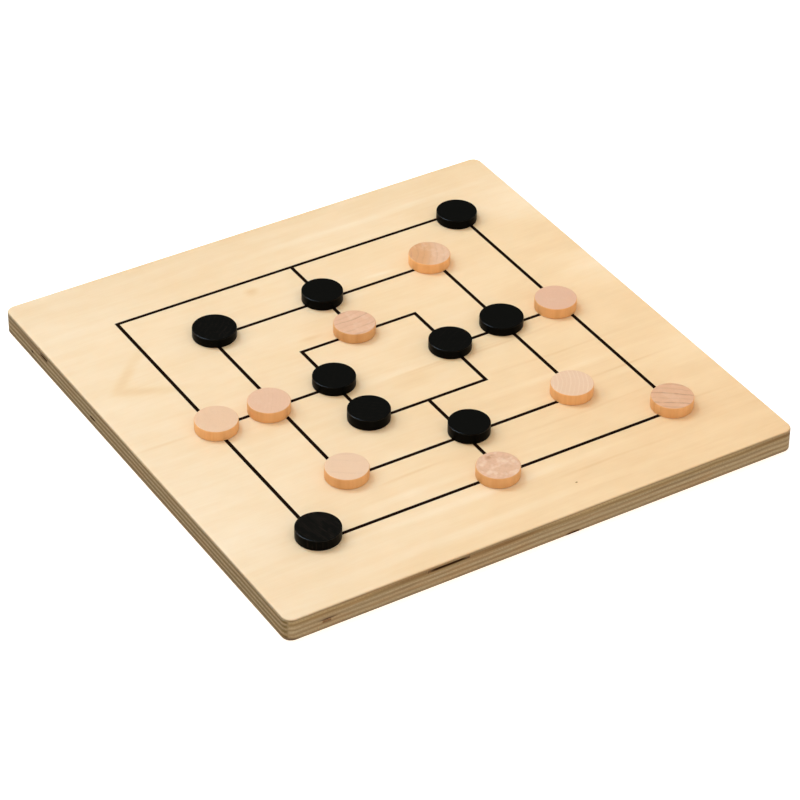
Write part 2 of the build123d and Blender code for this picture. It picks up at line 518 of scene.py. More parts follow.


# %% [markdown]
# ## Single marks on the sides
# A sawn edge has warm brown stretches, a duller or a paler ply here and there, and a dark spot
# at the foot of its front left corner. Dark brown marks around the mouths of core gaps are
# painted shade. Each is one mark of the group above, with a colour that its middle is multiplied
# by, so the edge gets its character from a list that can be read and changed line by line.

# %% Marks on the sides
EDGE_MARKS = [
    # centre x, y, z, half size along x, y, z in millimetres, what the middle is multiplied by
    (-72, -141, 10.45, 35, 12, 1.7, WARM_BROWN),
    (-25, -141, 10.45, 44, 12, 1.7, WARM_BROWN),
    (-45, -141, 10.7, 60, 12, 0.9, DULL),
    (-56, -141, 10.4, 16, 12, 1.4, WARM_BROWN),
    (135, -141, 10.4, 42, 12, 1.6, WARM_BROWN),
    (30, -141, 11.2, 60, 12, 0.9, PALE),
    (-90, -141, 12.3, 110, 12, 1.0, PALE),
    (90, -141, 12.3, 90, 12, 1.0, DULL),
    (0, -141, 8.3, 400, 12, 0.7, DULL),
    (80, -141, 7.5, 130, 12, 0.9, DULL),
    (-120, -141, 6.1, 120, 12, 0.8, DULL),
    # painted shade along the mouth of the front gap near x = -119
    (-118.5, -141, 6.0, 7, 5, 0.8, DARK_BROWN),
    (-137.5, -139.5, 0.0, 6, 7, 3.2, DARK_BROWN),
    # painted shade around the mouth of a core gap near the foot of the front side
    (12.8, -141, 0.2, 5.5, 8, 3.0, DARK_BROWN),
    (-140, 97, 9.4, 5, 8, 2.0, WARM_BROWN),
    (-140, 114, 9.0, 12, 30, 1.4, WARM_BROWN),
    # painted shade around the mouths of two core gaps on the left side
    (-140, 46.5, 4.9, 6, 3.4, 1.1, DARK_BROWN),
    (-140, 110.2, 4.9, 6, 2.4, 1.0, DARK_BROWN),
    (-140, 95, 9.9, 12, 100, 1.0, DULL),
    (-140, -5, 11.7, 12, 62, 1.2, PALE),
    (-140, -5, 12.0, 12, 50, 1.2, PALE),
    (-140, -120, 12.3, 12, 75, 1.2, DULL),
    (-140, 0, 1.9, 12, 400, 1.2, DULL),
    (-140, 130, 1.4, 12, 90, 1.5, DULL),
]


def marked_share(tree, position, centre, half_size):
    """How much of one soft mark there is at a point."""
    size = {"Position": position, "Centre": centre, "Half Size": half_size}
    return use_group(tree, mark, size)["Share"]


print(len(EDGE_MARKS), "marks on the sides")

# %% [markdown]
# ## One finish for all the sides
# The outer veneers and the core meet in the same four sides, so the finish is a function that
# any material can call with its own tree. It also darkens the bottom rim with painted shade,
# where the board meets the table, and on the sides that face along Y the upper plies are
# warmer and the lowest is greyer.

# %% Finish of the sides
UPPER_START, UPPER_END = 7.5, 9.5   # heights over which the warmer plies begin
BACK_START, BACK_END = 0.8, 1.8     # heights over which the back veneer's grey ends
FOOT_SHADE_HEIGHT = 0.9                   # how far up the painted shade at the bottom rim reaches
FOOT_SHADE_LEVEL = 0.72                   # the brightness that the painted shade leaves at its lowest line


def side_finish(tree, position):
    """Colour of the panel's sides, and the outputs of the ply edge group for them."""
    normal = place_node(tree, "NewGeometry").outputs["Normal"]
    height = parts_of(tree, position)[2]
    edge = use_group(tree, ply_edge, {"Position": position, "Facing": normal})
    # the sides that face along Y are lighter, partly with painted light
    long_grain = mix_colours(tree, edge["Faces Y"], LONG_GRAIN_X, LONG_GRAIN_Y_WITH_PAINTED_LIGHT)
    end_grain = mix_colours(tree, edge["Faces Y"], END_GRAIN_X, END_GRAIN_Y_WITH_PAINTED_LIGHT)
    ground = mix_colours(tree, edge["End Grain"], long_grain, end_grain)
    upper = eased(tree, height, UPPER_START, UPPER_END)
    upper = maths(tree, "MULTIPLY", upper, edge["Faces Y"])
    ground = stained(tree, ground, upper, UPPER_PLIES)
    # painted shade along the bottom rim, where the board meets the table
    ground = tint(tree, ground, eased(tree, height, 0.0, FOOT_SHADE_HEIGHT, FOOT_SHADE_LEVEL, 1.0))
    lowest = eased(tree, height, BACK_START, BACK_END, 1.0, 0.0)
    lowest = maths(tree, "MULTIPLY", lowest, edge["Faces Y"])
    ground = stained(tree, ground, lowest, BACK_VENEER)
    patches = eased(tree, noise(tree, position, (0.04, 0.04, 0.25), seed=12.0), 0.45, 0.65)
    ground = stained(tree, ground, patches, RUSTY)
    for x, y, z, long, deep, high, middle in EDGE_MARKS:
        share = marked_share(tree, position, (x, y, z), (long, deep, high))
        ground = stained(tree, ground, share, middle)
    grained = tint(tree, ground, eased(tree, edge["Grain"], 0.25, 0.75, 0.78, 1.20))
    return grained, edge


# %% [markdown]
# ## Inside the gaps, and the core material
# The inside of a gap gets painted shade, darkest where the gap is deepest, and its ends run
# out into pale clean wood, painted lighter than the slit's own shadow leaves it. Shadow alone
# doesn't show that in so thin a slit, so the gaps have hearts: soft marks of painted shade,
# dark in the middle of a gap and gone towards its ends. One shallow gap at the front has none
# and is pale all through. The core material is the finish of the sides with the gaps on top.

# %% Core material
# painted shade for the deep part of a gap, and pale wood with painted light for its ends
GAP_PAINTED_SHADE = (0.080, 0.032, 0.007)
GAP_PALE_WITH_PAINTED_LIGHT = (0.60, 0.40, 0.22)
# where the painted shade of each gap sits
GAP_SHADE_HEARTS = [
    # centre x, y, z, half size along x, y, z in millimetres
    (-54.8, -141, 10.4, 15, 20, 9),
    (12.8, -141, 1.0, 8, 20, 9),
    (-140, 97.2, 9.1, 20, 5.5, 9),
    (-140, 45.9, 5.0, 20, 5.5, 9),
    (-140, 109.8, 5.0, 20, 3, 9),
]


def gap_painted_light_and_shade(tree, position):
    """The inside of a core gap: painted shade in its deepest part, and pale clean wood with
    painted light at its ends.
    """
    gap_shade_share = 0.0
    for x, y, z, long, deep, high in GAP_SHADE_HEARTS:
        share = marked_share(tree, position, (x, y, z), (long, deep, high))
        gap_shade_share = maths(tree, "MAXIMUM", gap_shade_share, share)
    return mix_colours(tree, eased(tree, gap_shade_share, 0.0, 0.6), GAP_PALE_WITH_PAINTED_LIGHT, GAP_PAINTED_SHADE)


core_material, tree, shader = new_material("core_veneer_finish", roughness=0.75, shine=0.2)
position = place_in_mm(tree)
side, edge = side_finish(tree, position)
# the gaps get their painted shade and painted light
core_colour = mix_colours(tree, edge["Gap"], side, gap_painted_light_and_shade(tree, position))
tree.links.new(core_colour, shader.inputs["Base Color"])
add_bump(tree, shader, edge["Grain"], 0.5, 0.15)
print(core_material.name, "has", len(tree.nodes), "nodes,", len(GAP_SHADE_HEARTS), "gap hearts")

# %% [markdown]
# ## The marks of the face
# Peeled veneer is so even that every mark on it is one step along a single scale, from pale
# sapwood to a warm brown. So a mark needs no colour of its own, only a tone: above zero it is
# a brown streak, below zero a pale one. The list has the broad stretches and the streaks that
# catch the eye, and the last of them is a pin knot.

# %% Marks of the face
MARK_STRENGTH = 1.35    # how strongly all of them show
PIN_LENGTH = 1.0    # a mark shorter than this is a knot, which doesn't drift with the grain
ANY_HEIGHT = 1e4    # a half size so large that a mark goes right through the panel
GRAIN_MARKS = [
    # centre x, centre y, half length, half width in millimetres, tone
    (50, 118.5, 95, 4.0, -0.20),
    (40, 104, 55, 3.5, -0.14),
    (0, -6, 40, 4.0, -0.17),
    (75, -45, 75, 4.0, -0.18),
    (70, -60, 70, 3.0, -0.14),
    (-50, -90, 50, 4.5, -0.17),
    (-5, -107, 130, 4.0, -0.17),
    (-20, -127, 130, 4.5, -0.17),
    (37, 71.5, 16, 3.0, -0.22),
    (45, -10.5, 75, 1.6, 0.22),
    (78, -31, 55, 1.6, 0.15),
    (-36, -78, 26, 1.5, 0.25),
    (62, -78, 55, 1.3, 0.14),
    (105, -97, 30, 1.8, 0.17),
    (48, -115, 60, 1.5, 0.14),
    (25, -8.5, 60, 1.5, 0.20),
    (100, -56.5, 40, 1.5, 0.20),
    (-26.5, 91, 6, 5.0, 0.34),
    (-21, 41, 10, 2.6, 0.22),
    (6, -16, 18, 7.0, 0.16),
    (-125, 1, 24, 1.8, 0.20),
    (-132, 133, 16, 12, 0.12),
    (-30, 142, 110, 14, 0.16),
    (142, 98, 50, 38, -0.30),
    (142, 20, 42, 30, -0.30),
    (142, -60, 45, 40, -0.14),
    (-135, -60, 60, 70, -0.12),
    (-60, 100, 45, 30, 0.08),
    (26.6, -122.3, 0.9, 0.6, 2.20),
]
print(len(GRAIN_MARKS), "marks on the face")

# %% [markdown]
# ## The arch of a growth ring
# Where the knife that peels a log grazes a ring, the ring turns back on itself and leaves a
# pointed arch in the sheet. It is drawn as a hyperbola: the distance along the grain, less a
# bend that grows with the distance across it. The line is golden at its tip and fades out
# along its legs.

# %% Arch of a growth ring
ARCH_TIP = (-126.5, 48.5, 0)
ARCH_TURN = math.radians(10)
ARCH_SPREAD = 1.6   # how fast its legs run out along the grain
ARCH_BLUNT = 3.0    # how blunt its tip is, in millimetres
ARCH_WOBBLE = 6.0   # how far the line strays
ARCH_LINE = (0.5, 8.5)      # distances over which the line fades to both sides
ARCH_LEGS = (7.0, 30.0)     # distances across the grain over which its legs fade
ARCH_TONE = 0.31


def arch_tone(tree, position):
    """The golden line of one growth ring that turns back on itself near the left edge."""
    wobble = noise(tree, position, (0.05, 0.05, 0.0), detail=2.0, seed=5.0)
    wobble = maths(tree, "MULTIPLY", maths(tree, "SUBTRACT", wobble, 0.5), ARCH_WOBBLE)
    from_tip = vector_maths(tree, "SUBTRACT", position, ARCH_TIP)
    turned = place_node(
        tree, "VectorRotate", {"Vector": from_tip, "Angle": -ARCH_TURN}, rotation_type="Z_AXIS"
    )
    along, across, _ = parts_of(tree, turned.outputs[0])
    legs = maths(tree, "MULTIPLY", across, ARCH_SPREAD)
    bend = maths(tree, "SQRT", maths(tree, "MULTIPLY_ADD", legs, legs, ARCH_BLUNT**2))
    off_line = maths(tree, "ADD", maths(tree, "SUBTRACT", along, bend), wobble)
    line = eased(tree, maths(tree, "ABSOLUTE", off_line), *ARCH_LINE, 1.0, 0.0)
    faded = eased(tree, maths(tree, "ABSOLUTE", across), *ARCH_LEGS, ARCH_TONE, 0.0)
    return maths(tree, "MULTIPLY", line, faded)


# %% [markdown]
# ## The slow change across the sheet
# The sheet gets browner towards the right and paler towards its back right corner. That is
# partly the wood's own tone and partly painted sheen, which pales the left and the back. It is
# a plain formula of the place, and it is the ground that all the figure is added to.

# %% Ground of the sheet
HALF_SIDE = 140.0       # about half the panel's side, which turns a place into -1 to 1
TONE_MIDDLE = 0.44
TONE_AND_SHEEN_TO_RIGHT = 0.22    # how much browner the sheet gets towards the right, partly painted sheen on the left
TONE_AND_SHEEN_TO_CORNER = -0.19  # and how much paler towards the back right corner, partly painted sheen


def sheet_ground_and_sheen(tree, spot):
    """The slow change of tone across the sheet, partly painted sheen."""
    to_right = maths(tree, "DIVIDE", spot[0], HALF_SIDE)
    to_back = maths(tree, "DIVIDE", spot[1], HALF_SIDE)
    right_half = maths(tree, "MULTIPLY_ADD", to_right, 0.5, 0.5)
    corner = maths(tree, "MULTIPLY", to_back, right_half)
    corner = maths(tree, "MULTIPLY", corner, TONE_AND_SHEEN_TO_CORNER)
    across = maths(tree, "MULTIPLY_ADD", to_right, TONE_AND_SHEEN_TO_RIGHT, TONE_MIDDLE)
    return maths(tree, "ADD", across, corner)


# %% [markdown]
# ## Where a point is on its sheet
# No grain is quite straight. So the place at which noise and marks are looked up drifts slowly
# across the grain, which gives every streak the same gentle sway. The underside is another
# sheet of veneer. It could have a material of its own, but it is enough to move the place far
# away below half the panel's height, where there are no marks and the noise is different.

# %% Place on the sheet
BACK_SHEET = (320, 310, 0)
NEXT_SHEET = (5.0, 6.0)     # heights between which one sheet gives way to the other
GRAIN_SWAY = 7.0            # how far the grain drifts sideways, in millimetres


def sheet_places(tree, position):
    """The place of a point on its own sheet, first as it is and then with the grain's sway."""
    on_back = eased(tree, parts_of(tree, position)[2], *NEXT_SHEET, 1.0, 0.0)
    sheet_place = vector_maths(tree, "ADD", position, tint(tree, BACK_SHEET, on_back))
    drift = noise(tree, sheet_place, (0.012, 0.03, 0.0), detail=2.0, seed=7.0)
    drift = maths(tree, "MULTIPLY", maths(tree, "SUBTRACT", drift, 0.5), GRAIN_SWAY)
    shift = place_node(tree, "CombineXYZ", {1: drift}).outputs[0]
    return sheet_place, vector_maths(tree, "ADD", sheet_place, shift)


# %% [markdown]
# ## The tone of the sheet
# The figure of the wood is a sum: clouds and puffs of noise, streaks of three sizes, the
# single marks, and the arch. Adding them is simpler than layering them, since the order then
# doesn't matter. The knot and the arch are looked up without the sway, so that each stays
# where it was put.

# %% Tone of the sheet
CLOUDS = 0.09       # the most that a cloud adds to the tone, or takes away
PUFFS = 0.06
STREAKS = [
    # length and width in millimetres, the most that it adds to the tone, seed
    (28, 0.8, 0.03, 2.0),
    (90, 3.2, 0.045, 3.0),
    (9, 0.5, 0.018, 4.0),
]


def sheet_tone(tree, position):
    """The tone of each point of the sheet, and how much of it the figure of the wood adds."""
    sheet_place, drifted = sheet_places(tree, position)
    terms = []
    clouds = noise(tree, drifted, (0.010, 0.035, 0.0), detail=3.0, seed=1.0)
    terms.append(eased(tree, clouds, 0.25, 0.75, -CLOUDS, CLOUDS))
    puffs = noise(tree, drifted, (0.05, 0.11, 0.0), detail=2.0, seed=11.0)
    terms.append(eased(tree, puffs, 0.3, 0.7, -PUFFS, PUFFS))
    for length, width, most, seed in STREAKS:
        size = {"Position": drifted, "Length": length, "Width": width, "Seed": seed}
        lines = use_group(tree, fibres, size)
        terms.append(eased(tree, lines["Streaks"], 0.3, 0.7, -most, most))
    for x, y, half_length, half_width, tone in GRAIN_MARKS:
        place = sheet_place if half_length < PIN_LENGTH else drifted
        share = marked_share(tree, place, (x, y, 0), (half_length, half_width, ANY_HEIGHT))
        terms.append(maths(tree, "MULTIPLY", share, MARK_STRENGTH * tone))
    terms.append(arch_tone(tree, sheet_place))

    figure = terms[0]
    for term in terms[1:]:
        figure = maths(tree, "ADD", figure, term)
    # the slow change of tone, partly painted sheen
    ground = sheet_ground_and_sheen(tree, parts_of(tree, position))
    return maths(tree, "ADD", ground, figure), figure


# %% [markdown]
# ## From tone to colour
# One colour ramp turns the tone into wood: cream, honey, and a warm brown for the knot. The
# ramp fixes the hue, and a second small step the brightness, because a brown mark is also a
# little darker than the same hue elsewhere. That step also holds painted shade, which makes
# the left and back edges of the sheet a little duller.

# %% Colour of the sheet
FACE_RAMP = [
    # place on the ramp, colour
    (0.0, (0.890, 0.730, 0.515)),
    (0.25, (0.882, 0.655, 0.392)),
    (0.40, (0.862, 0.608, 0.342)),
    (0.60, (0.800, 0.520, 0.270)),
    (1.0, (0.420, 0.230, 0.100)),
]
TONE_SPAN = 2.0         # the tone that stands at the end of the ramp
FIGURE_SHADE = -0.13    # how much darker the wood gets for each step of tone
LEVEL_MIDDLE = 0.995
# painted light: brighter towards the right, so the left edge is a little duller
PAINTED_LIGHT_TO_RIGHT = 0.012
PAINTED_SHADE_AT_BACK = -0.035  # how much painted shade dulls the back edge
SHADED_BACK_EDGE = (80, 145)   # places along Y over which the painted shade comes in


def sheet_level(tree, position, figure):
    """How bright each point is: a brown mark is darker, and painted shade dulls two edges a
    little.
    """
    spot = parts_of(tree, position)
    level = maths(tree, "MULTIPLY_ADD", figure, FIGURE_SHADE, LEVEL_MIDDLE)
    level = maths(tree, "MULTIPLY_ADD", spot[0], PAINTED_LIGHT_TO_RIGHT / HALF_SIDE, level)
    return maths(tree, "ADD", level, eased(tree, spot[1], *SHADED_BACK_EDGE, 0.0, PAINTED_SHADE_AT_BACK))


def sheet_colour(tree, position):
    """The colour of the flat faces of the outer veneers."""
    tone, figure = sheet_tone(tree, position)
    ramp = place_node(tree, "ValToRGB", {"Fac": maths(tree, "DIVIDE", tone, TONE_SPAN)})
    for place, colour in FACE_RAMP[1:-1]:
        ramp.color_ramp.elements.new(place)
    for stop, (place, colour) in zip(ramp.color_ramp.elements, FACE_RAMP):
        stop.position = place
        stop.color = (*colour, 1)
    return tint(tree, ramp.outputs["Color"], sheet_level(tree, position, figure))


print("ramp of", len(FACE_RAMP), "colours")

# %% [markdown]
# ## The face material
# The outer veneers show a flat face and their part of the sides. Two materials would need the
# eased rim between them to be cut at some line, so one material mixes both finishes by the
# flatness of the surface. The gaps come last, and a fine bump follows the streaks.

# %% Face material
face_material, tree, shader = new_material("face_veneer_finish", roughness=0.55, shine=0.25)
position = place_in_mm(tree)
side, edge = side_finish(tree, position)
on_face = eased(tree, flatness(tree), 0.25, 0.99)
face_colour = mix_colours(tree, on_face, side, sheet_colour(tree, position))
# the gaps get their painted shade and painted light
face_colour = mix_colours(tree, edge["Gap"], face_colour, gap_painted_light_and_shade(tree, position))
tree.links.new(face_colour, shader.inputs["Base Color"])
length, width, _, seed = STREAKS[0]
size = {"Position": position, "Length": length, "Width": width, "Seed": seed}
add_bump(tree, shader, use_group(tree, fibres, size)["Streaks"], 0.10, 0.05)
add_glow(shader)
print(face_material.name, "has", len(tree.nodes), "nodes")

# %% [markdown]
# ## Dressing the panel
# The veneers are shown as they come: their shape is already right, rounded corners, eased
# rims, gaps and all. So they only need a finish in place of the plain one they came with. The
# two outer veneers share the face material, and the seven inner ones the core material.

# %% Dress the panel
OUTER_NAMES = ("face_veneer", "back_veneer")
for name in OUTER_NAMES:
    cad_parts[name].material_slots[0].material = face_material
for name in CORE_NAMES:
    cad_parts[name].material_slots[0].material = core_material
print("dressed", len(OUTER_NAMES) + len(CORE_NAMES), "veneers")

# %% [markdown]
# ## The printed lines
# The ink has soaked into the wood, so it is matt and shows the veneer's streaks very faintly.
# Black ink on wood is a very dark brown: full where it lies thick, and a little lighter and
# warmer where the wood has drunk it.

# %% Ink
INK_FULL = (0.0076, 0.0017, 0.0004)
INK_SOAKED = (0.0170, 0.0072, 0.0028)
ink_material, tree, shader = new_material("ink_finish", roughness=0.7, shine=0.03)
size = {"Position": place_in_mm(tree), "Length": 12, "Width": 0.5, "Seed": 6.0}
soaked = eased(tree, use_group(tree, fibres, size)["Streaks"], 0.3, 0.8)
ink = mix_colours(tree, soaked, INK_FULL, INK_SOAKED)
tree.links.new(ink, shader.inputs["Base Color"])
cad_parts["printed_lines"].material_slots[0].material = ink_material
print("inked the pattern with", ink_material.name)

# %% [markdown]
# ## The table's finish
# A white surface that glows a little stays white right up to the board, where a plain one
# would turn grey. The glow must not shine into the thin gap under the board, so the table is
# darker there, with painted shade, and it isn't sampled as a lamp. It is also one-sided: seen
# from below it is clear, so that a view from under the table shows the board's underside.

# %% Finish the table
TABLE_WHITE = (0.93, 0.93, 0.93)
# painted shade where the board covers the table
TABLE_SHADE_UNDER_BOARD = (0.30, 0.30, 0.30)
COVER_START, COVER_END = -3.5, -0.3     # millimetres beyond the outline, so both lie under it
TABLE_GLOW = 0.55
table_material, tree, shader = new_material("table_finish", roughness=0.9, shine=0.0)
spot = parts_of(tree, place_in_mm(tree))
past_x = maths(tree, "SUBTRACT", maths(tree, "ABSOLUTE", spot[0]), half_x / MM)
past_y = maths(tree, "SUBTRACT", maths(tree, "ABSOLUTE", spot[1]), half_y / MM)
beyond = maths(tree, "MAXIMUM", past_x, past_y)
open_table = eased(tree, beyond, COVER_START, COVER_END)
table_colour = mix_colours(tree, open_table, TABLE_SHADE_UNDER_BOARD, TABLE_WHITE)
tree.links.new(table_colour, shader.inputs["Base Color"])
from_below = place_node(tree, "NewGeometry").outputs["Backfacing"]
tree.links.new(maths(tree, "SUBTRACT", 1.0, from_below), shader.inputs["Alpha"])
shader.inputs["Emission Color"].default_value = (1, 1, 1, 1)
shader.inputs["Emission Strength"].default_value = TABLE_GLOW
table_material.cycles.emission_sampling = "NONE"
table.data.materials.append(table_material)
print("table finished with", table_material.name)

# %% [markdown]
# ## The counters
# Each counter is a slice of a turned dowel. Its nominal size comes from the frame. To round
# a rim its edges have to be selected, and in code that is done by their place: an edge whose
# two ends both lie at one height belongs to the rim at that height.

# %% Select a rim
ON_LEVEL = 0.01 * MM    # an edge nearer than this to a level lies on it
counter_low, counter_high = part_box("natural_counter_1")
COUNTER_HEIGHT = counter_high.z - counter_low.z
COUNTER_RADIUS = (counter_high.x - counter_low.x) / 2


def select_rim(disc, level):
    """Select, in edit mode, the edges that lie at one height."""
    sketch = bmesh.from_edit_mesh(disc.data)
    for edge in sketch.edges:
        edge.select_set(all(abs(end.co.z - level) < ON_LEVEL for end in edge.verts))
    bmesh.update_edit_mesh(disc.data)


print("disc", round(2 * COUNTER_RADIUS / MM, 1), "x", round(COUNTER_HEIGHT / MM, 1), "mm")

# %% [markdown]
# ## One disc of each kind
# A cylinder primitive is the start, and both its rims are bevelled, over a little less than
# half a millimetre. One wide step would be a chamfer and catch the light as a hard line, so
# the bevel has four, which look round. Only the curved faces are shaded smooth, and the sawn
# flats stay flat. One disc of each kind is modelled at the origin, to be copied from there.

# %% Model one disc of each kind
RIM_CORNERS = 128
RIM_STEPS = 4
BLACK_RIM = 0.35 * MM
NATURAL_RIM = 0.45 * MM
SMOOTH_ANGLE = math.radians(30)
FLAT_NORMAL = 0.999     # a face whose normal is more upright than this is flat


def turned_disc(name, rim):
    """A disc standing on the origin, both rims rounded over the given width."""
    bpy.ops.object.select_all(action="DESELECT")
    bpy.ops.mesh.primitive_cylinder_add(
        vertices=RIM_CORNERS,
        radius=COUNTER_RADIUS,
        depth=COUNTER_HEIGHT,
        location=(0, 0, COUNTER_HEIGHT / 2),
    )
    disc = bpy.context.object
    disc.name = name
    bpy.ops.object.transform_apply(location=True)
    bpy.ops.object.mode_set(mode="EDIT")
    bpy.ops.mesh.select_mode(type="EDGE")
    bpy.ops.mesh.select_all(action="DESELECT")
    for level in (0.0, COUNTER_HEIGHT):
        select_rim(disc, level)
        bpy.ops.mesh.bevel(offset=rim, segments=RIM_STEPS, profile=0.5)
        bpy.ops.mesh.select_all(action="DESELECT")
    bpy.ops.object.mode_set(mode="OBJECT")
    bpy.ops.object.shade_smooth_by_angle(angle=SMOOTH_ANGLE)
    for face in disc.data.polygons:
        face.use_smooth = abs(face.normal.z) < FLAT_NORMAL
    return disc


black_disc = turned_disc("black_disc", BLACK_RIM)
natural_disc = turned_disc("natural_disc", NATURAL_RIM)
print("one disc has", len(black_disc.data.polygons), "faces")

# %% [markdown]
# ## Every slice comes from its own place in the log
# End grain shows arcs of growth rings, and the same rings run down the side as straight bands.
# Both come from one idea: each mesh carries an attribute called log, the place of its points
# in the tree it was sawn from, in millimetres, with the pith on the Z axis. A slice from near
# the pith has tight curves, one from far out has almost straight lines. Three more attributes
# hold what differs from slice to slice: growth is how strong its rings are, how far apart, and
# how far the brown heartwood reaches from the pith, wood is how pink, how toasted and how
# mottled the slice is, and tan is how light its side is, partly its own tone and partly
# painted light and shade.

# %% Choose the slices
NATURAL_SLICES = [
    # direction of the pith in degrees and distance to it; ring strength (below zero for pale
    # rings), ring pitch and heartwood radius; pink, toasted, mottled; tone of the side, partly
    # painted light and shade
    ((-122, 90), (0.04, 2.2, 200), (0.95, 0.05, 0.15), 1.05),
    ((148, 60), (0.06, 3.0, 200), (0.00, 0.15, 0.20), 1.06),
    ((-127, 66.4), (1.00, 3.6, 200), (0.80, 0.42, 0.25), 1.00),
    ((148, 45), (0.12, 2.4, 200), (0.70, 0.15, 1.00), 0.94),
    ((150, 30), (0.30, 3.4, 31), (0.30, 1.00, 0.45), 1.15),
    ((148, 80), (0.10, 1.9, 200), (0.65, 0.05, 0.15), 1.02),
    ((148, 28), (-0.45, 2.1, 200), (0.10, 0.00, 0.10), 1.10),
    ((58, 60), (0.14, 5.0, 200), (0.00, 0.00, 0.12), 1.00),
    ((96, 75), (0.75, 3.8, 200), (0.80, 0.22, 0.35), 0.91),
]
BLACK_SLICES = [
    ((20, 90), (0.05, 2.5, 200), (0, 0, 0.1), 1),
    ((8, 85), (1.00, 1.1, 200), (0, 0, 1.0), 1),
    ((75, 60), (0.05, 2.5, 200), (0, 0, 0.2), 1),
    ((130, 70), (0.25, 2.5, 200), (0, 0, 0.9), 1),
    ((200, 80), (0.05, 2.5, 200), (0, 0, 0.1), 1),
    ((240, 60), (0.05, 2.5, 200), (0, 0, 0.1), 1),
    ((300, 75), (0.10, 2.5, 200), (0, 0, 0.3), 1),
    ((330, 60), (0.05, 2.5, 200), (0, 0, 0.2), 1),
    ((50, 65), (0.12, 2.5, 200), (0, 0, 0.4), 1),
]
print(len(BLACK_SLICES), "black and", len(NATURAL_SLICES), "natural slices")

# %% [markdown]
# ## Cutting a slice
# A disc gets the attributes of its slice while it still stands at the origin, because there a
# point's place on the disc is known. All attributes are made before any is filled, since
# making one can move the others in memory. The pith lies at a distance in some direction,
# and a point's place in the log is counted from there.

# %% Cut a slice
SLICE_VECTORS = ("log", "growth", "wood")
# the side's tone, partly its wood and partly painted light and shade
SIDE_TONE_AND_SHADE = "tan"


def cut_slice(disc, cut):
    """Give every point of a disc its place in the log and the values of its slice."""
    (turn, distance), its_growth, its_wood, its_side_tone_and_shade = cut
    attributes = disc.data.attributes
    for name in SLICE_VECTORS:
        attributes.new(name, "FLOAT_VECTOR", "POINT")
    attributes.new(SIDE_TONE_AND_SHADE, "FLOAT", "POINT")
    log, growth, wood = [attributes[name].data for name in SLICE_VECTORS]
    tone = attributes[SIDE_TONE_AND_SHADE].data
    angle = math.radians(turn)
    pith = Vector((distance * math.cos(angle), distance * math.sin(angle), 0))
    for index, point in enumerate(disc.data.vertices):
        log[index].vector = point.co / MM - pith
        growth[index].vector = its_growth
        wood[index].vector = its_wood
        tone[index].value = its_side_tone_and_shade


# %% [markdown]
# ## Placing the counters
# Each counter is a copy of the model disc with a mesh of its own. It is cut from the log,
# stretched to its own diameter and height and moved to its place, and both are applied, so
# that its place is in its mesh. It rides on the counter's body and replaces the plain counter
# of the frame. The two models are deleted once all copies are made.

# %% Place the counters
def place_counter(model, node, cut):
    """Copy a disc to where a CAD counter stands, and cut it from its own place in the log."""
    low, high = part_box(node)
    bpy.ops.object.select_all(action="DESELECT")
    model.select_set(True)
    bpy.context.view_layer.objects.active = model
    bpy.ops.object.duplicate()
    disc = bpy.context.object
    disc.name = node.replace("counter", "disc")
    cut_slice(disc, cut)
    middle = (low + high) / 2
    wider = (high.x - low.x) / 2 / COUNTER_RADIUS
    taller = (high.z - low.z) / COUNTER_HEIGHT
    disc.scale = (wider, wider, taller)
    disc.location = (middle.x, middle.y, low.z)
    bpy.ops.object.transform_apply(location=True, scale=True)
    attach(disc, node)
    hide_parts(node)
    return disc


def place_all(model, kind, slices):
    """Place the counters of one kind, one for each slice."""
    placed = []
    for number, cut in enumerate(slices, start=1):
        placed.append(place_counter(model, f"{kind}_counter_{number}", cut))
    return placed


black_discs = place_all(black_disc, "black", BLACK_SLICES)
natural_discs = place_all(natural_disc, "natural", NATURAL_SLICES)
for model in (black_disc, natural_disc):
    bpy.data.objects.remove(model)
print(len(black_discs), "black and", len(natural_discs), "natural counters")

# %% [markdown]
# ## Reading the log in a shader
# Both kinds of counter read the same attributes, so the steps that turn them into rings are
# shared. The distance to the pith gives the year, two sizes of noise let the rings wander by
# about a year, and a third makes each line faint in places, as a real ring is.

# %% Rings of a slice
RINGS_WANDER = 1.3      # in years
RINGS_WAVER = 0.35
FAINTEST_LINE = 0.35


def slice_values(tree):
    """What a slice's shader needs: its place in the log, its growth and its wood."""
    values = []
    for name in SLICE_VECTORS:
        values.append(place_node(tree, "Attribute", attribute_name=name).outputs["Vector"])
    return values


def to_pith(tree, log_place):
    """How far a point of a slice is from the middle of the tree."""
    level = vector_maths(tree, "MULTIPLY", log_place, (1, 1, 0))
    return place_node(tree, "VectorMath", {0: level}, operation="LENGTH").outputs["Value"]


def latewood(tree, log_place, growth):
    """The dark lines of a slice's growth rings, already as strong as this slice has them."""
    strength, pitch, _ = parts_of(tree, growth)
    wander = noise(tree, log_place, (0.05, 0.05, 0.01), detail=2.0)
    uneven = noise(tree, log_place, (0.16, 0.16, 0.02), detail=1.0, seed=2.0)
    waver = maths(tree, "MULTIPLY", uneven, RINGS_WAVER)
    wander = maths(tree, "MULTIPLY_ADD", wander, RINGS_WANDER, waver)
    distance = to_pith(tree, log_place)
    year = use_group(tree, rings, {"Distance": distance, "Pitch": pitch, "Wander": wander})
    faint = noise(tree, log_place, (0.18, 0.18, 0.05), seed=1.0)
    faint = eased(tree, faint, 0.3, 0.6, FAINTEST_LINE, 1.0)
    return maths(tree, "MULTIPLY", maths(tree, "MULTIPLY", year["Late"], faint), strength)


# %% [markdown]
# ## Bare wood: the end grain on top
# The end grain is pale and slightly pink, with the rings as thin brown lines. A slice whose
# ring strength is below zero has pale rings instead. Some slices hold toasted heartwood, some
# are mottled brown and cream, and one has a stain. Each is one more mix on top of the last,
# and a fine speckle of pores is the only part that all of them share.

